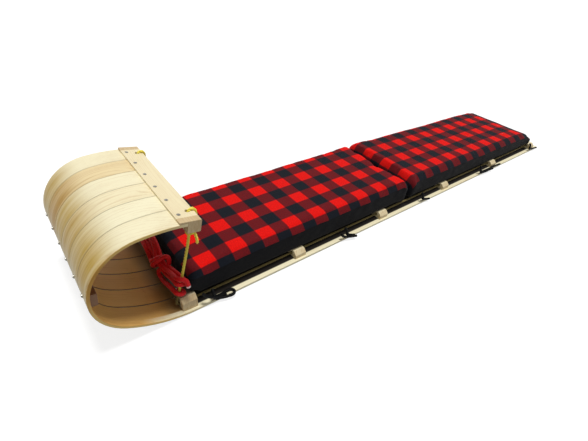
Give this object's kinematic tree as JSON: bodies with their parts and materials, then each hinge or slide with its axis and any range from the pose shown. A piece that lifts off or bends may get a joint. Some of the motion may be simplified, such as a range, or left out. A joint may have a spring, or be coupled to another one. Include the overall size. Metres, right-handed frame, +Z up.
{
  "type": "toboggan",
  "caption": "Long wooden toboggan with a curled nose, crossbars, side ropes, a hanked pull rope and a tied-on checked pad, for riding down snow or pulling along.",
  "frame": {"origin": "on the ground under the middle of the sled's length and width", "axes": "+X forward to the curl, +Y to the rider's left, +Z up"},
  "size_m": [2.2668, 0.4284, 0.3101],
  "materials": {
    "board_wood": "clear satin varnish",
    "bar_wood": "clear satin varnish",
    "pad_cloth": "woven check",
    "side_rope": "laid plastic fibre",
    "pull_rope": "braided",
    "tie_cord": "braided"
  },
  "bodies": {
    "root": {"slat_1": "board_wood", "slat_2": "board_wood", "slat_3": "board_wood", "slat_4": "board_wood", "slat_5": "board_wood", "slat_6": "board_wood", "front_cleat": "bar_wood", "cleat_2": "bar_wood", "cleat_3": "bar_wood", "cleat_4": "bar_wood", "cleat_5": "bar_wood", "tail_cleat": "bar_wood", "head_bar": "bar_wood", "curl_batten": "bar_wood", "pad_front": "pad_cloth", "pad_rear": "pad_cloth", "side_rope_left": "side_rope", "side_rope_right": "side_rope", "pull_rope": "pull_rope", "pad_ties_left": "tie_cord", "pad_ties_right": "tie_cord"}
  },
  "joints": []
}
